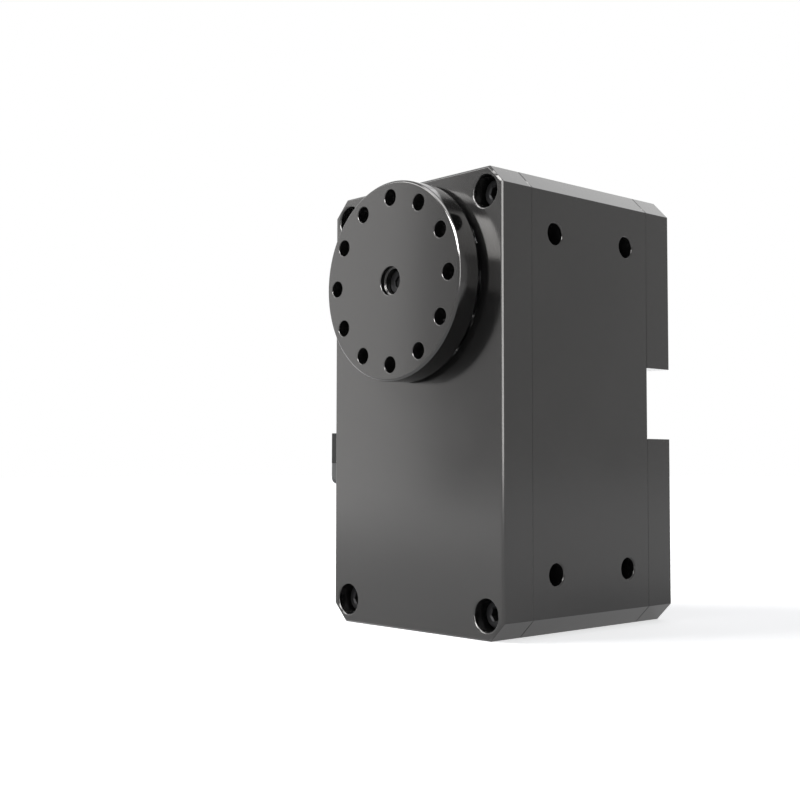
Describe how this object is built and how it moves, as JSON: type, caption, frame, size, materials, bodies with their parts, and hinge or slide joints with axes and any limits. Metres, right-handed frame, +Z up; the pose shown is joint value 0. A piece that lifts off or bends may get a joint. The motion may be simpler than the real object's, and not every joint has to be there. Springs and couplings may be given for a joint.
{
  "type": "geared joint actuator",
  "caption": "Tall octagonal metal joint actuator: a round output disc with a ring of tapped holes near the top of its front, side mounting holes and a channel across the back.",
  "frame": {"origin": "on the output axis, at the front face of the output disc", "axes": "+Y runs from the output disc's front face into the case, +Z up along the case's height, +X to the right seen from the front"},
  "size_m": [0.062, 0.058, 0.09],
  "materials": {
    "case_metal": "satin",
    "disc_metal": "satin",
    "screw_steel": "satin",
    "gear_steel": "satin",
    "bearing_steel": "polished",
    "motor_steel": "satin",
    "stator_steel": "matte",
    "copper_winding": "satin",
    "magnet": "satin",
    "contact_metal": "polished",
    "seal_rubber": "matte",
    "circuit_board": "satin",
    "chip_plastic": "matte",
    "capacitor_can": "satin",
    "black_plastic": "satin",
    "grey_plastic": "satin"
  },
  "bodies": {
    "housing": {"front_cover": "case_metal", "middle_case": "case_metal", "upper_rear_cover": "case_metal", "lower_rear_cover": "case_metal", "front_seal": "seal_rubber", "upper_rear_seal": "seal_rubber", "lower_rear_seal": "seal_rubber", "long_case_screws": "screw_steel", "upper_cover_screws": "screw_steel", "lower_cover_screws": "screw_steel", "front_bearing": "bearing_steel", "rear_bearing": "bearing_steel", "first_idler_pin": "bearing_steel", "second_idler_pin": "bearing_steel", "motor_can": "motor_steel", "motor_end_cap": "motor_steel", "motor_stator": "stator_steel", "motor_windings": "copper_winding", "motor_front_bearing": "bearing_steel", "motor_rear_bearing": "bearing_steel", "motor_screws": "screw_steel", "motor_sensor_board": "circuit_board", "sensor_board_screws": "screw_steel", "encoder_board": "circuit_board", "encoder_chip": "chip_plastic", "encoder_board_screws": "screw_steel", "controller_board": "circuit_board", "controller_board_screws": "screw_steel", "driver_chips": "chip_plastic", "board_capacitors": "capacitor_can", "power_connector": "black_plastic", "signal_connector": "grey_plastic", "connector_contacts": "contact_metal"},
    "output": {"output_horn": "disc_metal", "horn_centre_screw": "screw_steel", "output_shaft": "gear_steel", "output_gear": "gear_steel", "output_gear_key": "gear_steel", "output_spacer": "bearing_steel", "encoder_magnet": "magnet"},
    "second_idler": {"second_idler_wheel": "gear_steel", "second_idler_pinion": "gear_steel"},
    "first_idler": {"first_idler_wheel": "gear_steel", "first_idler_pinion": "gear_steel"},
    "rotor": {"motor_shaft": "gear_steel", "rotor_magnet": "magnet", "motor_pinion": "gear_steel"}
  },
  "joints": [
    {"name": "output_turn", "type": "hinge", "parent": "housing", "child": "output", "pos_m": [0, 0, 0], "axis": [0, -1, 0], "continuous": true},
    {"name": "second_idler_turn", "type": "hinge", "parent": "housing", "child": "second_idler", "pos_m": [-0.00396, 0, -0.02062], "axis": [0, -1, 0], "continuous": true},
    {"name": "first_idler_turn", "type": "hinge", "parent": "housing", "child": "first_idler", "pos_m": [0.0055, 0, -0.03451], "axis": [0, -1, 0], "continuous": true},
    {"name": "rotor_turn", "type": "hinge", "parent": "housing", "child": "rotor", "pos_m": [0, 0, -0.049], "axis": [0, -1, 0], "continuous": true}
  ],
  "couplings": [
    {"joint": "second_idler_turn", "follows": "output_turn", "ratio": -2.5},
    {"joint": "first_idler_turn", "follows": "output_turn", "ratio": 9.1667},
    {"joint": "rotor_turn", "follows": "output_turn", "ratio": -38.194}
  ]
}
